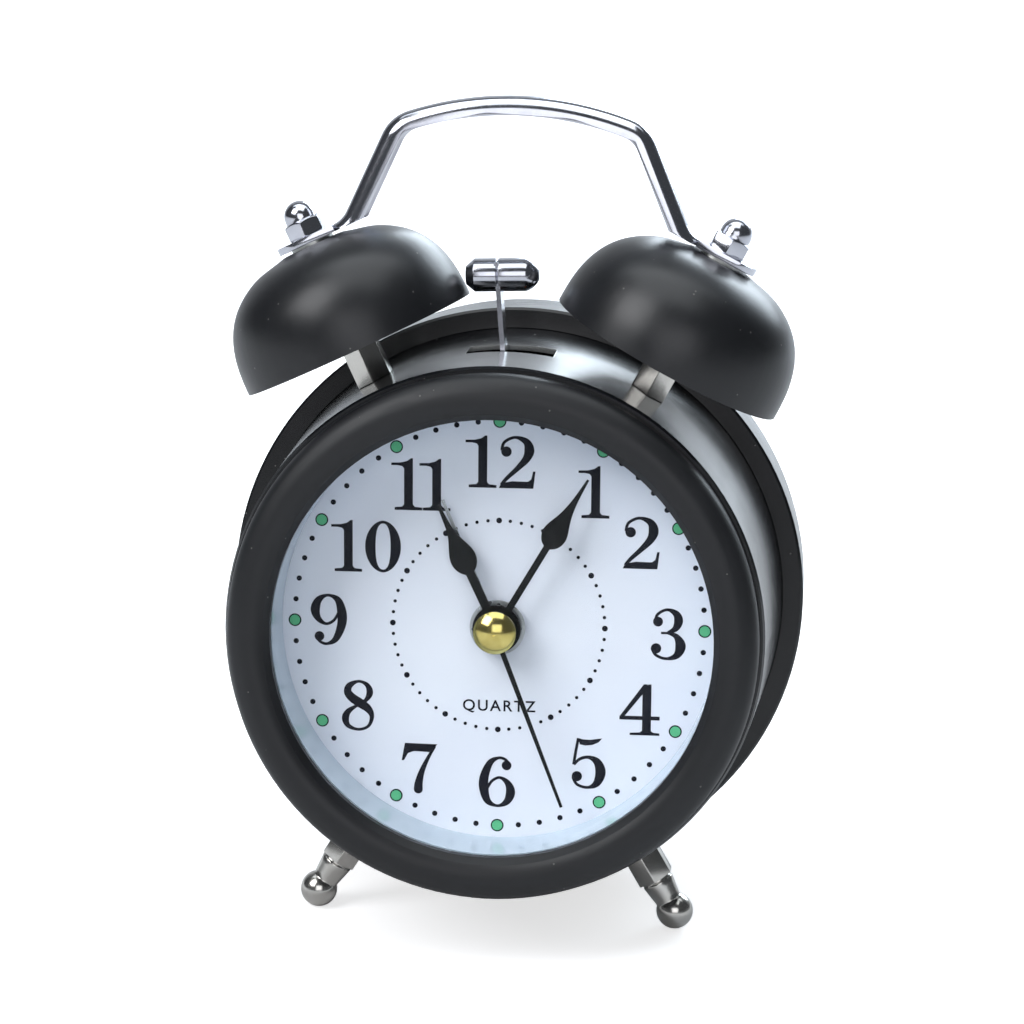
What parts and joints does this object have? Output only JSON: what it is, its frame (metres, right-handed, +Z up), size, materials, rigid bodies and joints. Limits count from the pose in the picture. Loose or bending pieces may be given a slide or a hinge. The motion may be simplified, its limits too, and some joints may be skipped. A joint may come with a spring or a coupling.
{
  "type": "twin-bell alarm clock",
  "caption": "Round metal-cased desk alarm clock with bells on posts, a hammer between them, an arched carrying handle and splayed ball feet; hands, knobs, switch and battery door move.",
  "frame": {"origin": "on the table under the middle of the clock's bounding box", "axes": "+X to the right as seen from the front, +Y from the dial towards the back, +Z up; the clock leans back as it stands, and its hands turn about the leaned axis"},
  "size_m": [0.0922, 0.0638, 0.129],
  "materials": {
    "drum_black": "satin",
    "ring_black": "satin",
    "bell_black": "satin",
    "chrome": "polished",
    "satin_nickel": "satin",
    "zinc_steel": "plain",
    "soft_iron": "plain",
    "brass": "satin",
    "lens_glass": "polished",
    "spacer_white": "gloss",
    "dial_white": "printed",
    "hand_black": "satin",
    "alarm_hand_silver": "satin",
    "black_plastic": "fine grain",
    "grey_plastic": "plain",
    "movement_plastic": "plain",
    "clear_plate": "plain",
    "white_gear": "plain",
    "copper_wire": "enamelled",
    "magnet_dark": "plain",
    "board_green": "plain",
    "crystal_can": "plain",
    "cell_jacket": "printed sleeve",
    "spring_steel": "plain",
    "phosphor_strip": "plain"
  },
  "bodies": {
    "clock": {"acorn_nuts": "chrome", "alarm_contact": "phosphor_strip", "alarm_switch_base": "grey_plastic", "back_cover": "black_plastic", "bell_left": "bell_black", "bell_posts": "satin_nickel", "bell_right": "bell_black", "bell_studs": "zinc_steel", "bell_washers": "zinc_steel", "carrier_screws": "zinc_steel", "case_drum": "drum_black", "cell": "cell_jacket", "cell_contacts": "spring_steel", "circuit_board": "board_green", "cover_screws": "zinc_steel", "dial_carrier": "grey_plastic", "dial_plate": "dial_white", "dial_spacer": "spacer_white", "drive_coil": "copper_wire", "feet": "satin_nickel", "front_ring": "ring_black", "hammer_pin": "zinc_steel", "hammer_spring": "spring_steel", "hammer_yoke": "zinc_steel", "handle": "chrome", "inner_nuts": "zinc_steel", "lens": "lens_glass", "magnet_core": "soft_iron", "magnet_spool": "grey_plastic", "magnet_winding": "copper_wire", "movement_front": "movement_plastic", "movement_plate": "clear_plate", "movement_rear": "movement_plastic", "quartz_crystal": "crystal_can", "stator": "soft_iron"},
    "seconds_work": {"seconds_wheel": "white_gear", "seconds_hand": "hand_black", "hand_cap": "brass"},
    "rotor": {"rotor_pinion": "white_gear", "rotor_magnet": "magnet_dark"},
    "middle_work": {"middle_wheel": "white_gear"},
    "third_work": {"third_wheel": "white_gear"},
    "centre_work": {"centre_wheel": "white_gear"},
    "minute_work": {"cannon_pinion": "brass", "minute_hand": "hand_black"},
    "motion_work": {"minute_wheel": "white_gear"},
    "hour_work": {"hour_wheel": "white_gear", "hour_hand": "hand_black"},
    "time_setting": {"time_set_arbor": "white_gear", "time_knob": "black_plastic"},
    "alarm_work": {"alarm_wheel": "white_gear", "alarm_hand": "alarm_hand_silver"},
    "alarm_setting": {"alarm_set_arbor": "white_gear", "alarm_knob": "black_plastic"},
    "hammer": {"hammer_arm": "chrome", "hammer_armature": "soft_iron", "hammer_head_left": "chrome", "hammer_head_right": "chrome"},
    "alarm_slider": {"alarm_switch_slider": "black_plastic"},
    "door": {"battery_door": "black_plastic"}
  },
  "joints": [
    {"name": "seconds_spin", "type": "hinge", "parent": "clock", "child": "seconds_work", "pos_m": [0, -0.00268, 0.04873], "axis": [0, 0.995, -0.0999], "continuous": true},
    {"name": "rotor_spin", "type": "hinge", "parent": "clock", "child": "rotor", "pos_m": [0.00992, 0.00034, 0.04375], "axis": [0, 0.995, -0.0999], "continuous": true},
    {"name": "middle_spin", "type": "hinge", "parent": "clock", "child": "middle_work", "pos_m": [0.00485, -0.00157, 0.0458], "axis": [0, 0.995, -0.0999], "continuous": true},
    {"name": "third_spin", "type": "hinge", "parent": "clock", "child": "third_work", "pos_m": [-0.00511, -0.00426, 0.04702], "axis": [0, 0.995, -0.0999], "continuous": true},
    {"name": "centre_spin", "type": "hinge", "parent": "clock", "child": "centre_work", "pos_m": [0, -0.00547, 0.04901], "axis": [0, 0.995, -0.0999], "continuous": true},
    {"name": "minute_spin", "type": "hinge", "parent": "clock", "child": "minute_work", "pos_m": [0, -0.00815, 0.04928], "axis": [0, 0.995, -0.0999], "continuous": true},
    {"name": "motion_spin", "type": "hinge", "parent": "clock", "child": "motion_work", "pos_m": [-0.00104, -0.00756, 0.05516], "axis": [0, 0.995, -0.0999], "continuous": true},
    {"name": "hour_spin", "type": "hinge", "parent": "clock", "child": "hour_work", "pos_m": [0, -0.00945, 0.04941], "axis": [0, 0.995, -0.0999], "continuous": true},
    {"name": "time_knob_turn", "type": "hinge", "parent": "clock", "child": "time_setting", "pos_m": [-0.00624, 0.02518, 0.05488], "axis": [0, 0.995, -0.0999], "continuous": true},
    {"name": "alarm_spin", "type": "hinge", "parent": "clock", "child": "alarm_work", "pos_m": [0, -0.01064, 0.04953], "axis": [0, 0.995, -0.0999], "continuous": true},
    {"name": "alarm_knob_turn", "type": "hinge", "parent": "clock", "child": "alarm_setting", "pos_m": [0.00804, 0.02496, 0.05273], "axis": [0, 0.995, -0.0999], "continuous": true},
    {"name": "hammer_swing", "type": "hinge", "parent": "clock", "child": "hammer", "pos_m": [0.0006, -0.00466, 0.07305], "axis": [0, 0.995, -0.0999], "range_deg": [0, 7.6], "stiffness_Nm_per_rad": 0.004, "springref_deg": -17.19},
    {"name": "alarm_switch", "type": "slide", "parent": "clock", "child": "alarm_slider", "axis": [1, 0, 0], "range_m": [0, 0.004]},
    {"name": "battery_door_hinge", "type": "hinge", "parent": "clock", "child": "door", "pos_m": [0, 0.02397, 0.01881], "axis": [-1, 0, 0], "range_deg": [0, 95]}
  ],
  "couplings": [
    {"joint": "rotor_spin", "follows": "seconds_spin", "ratio": 30},
    {"joint": "middle_spin", "follows": "seconds_spin", "ratio": -6},
    {"joint": "third_spin", "follows": "seconds_spin", "ratio": -0.13333},
    {"joint": "centre_spin", "follows": "seconds_spin", "ratio": 0.016667},
    {"joint": "motion_spin", "follows": "minute_spin", "ratio": -0.33333},
    {"joint": "hour_spin", "follows": "minute_spin", "ratio": 0.083333},
    {"joint": "time_knob_turn", "follows": "minute_spin", "ratio": 1},
    {"joint": "alarm_knob_turn", "follows": "alarm_spin", "ratio": -1.3333}
  ]
}
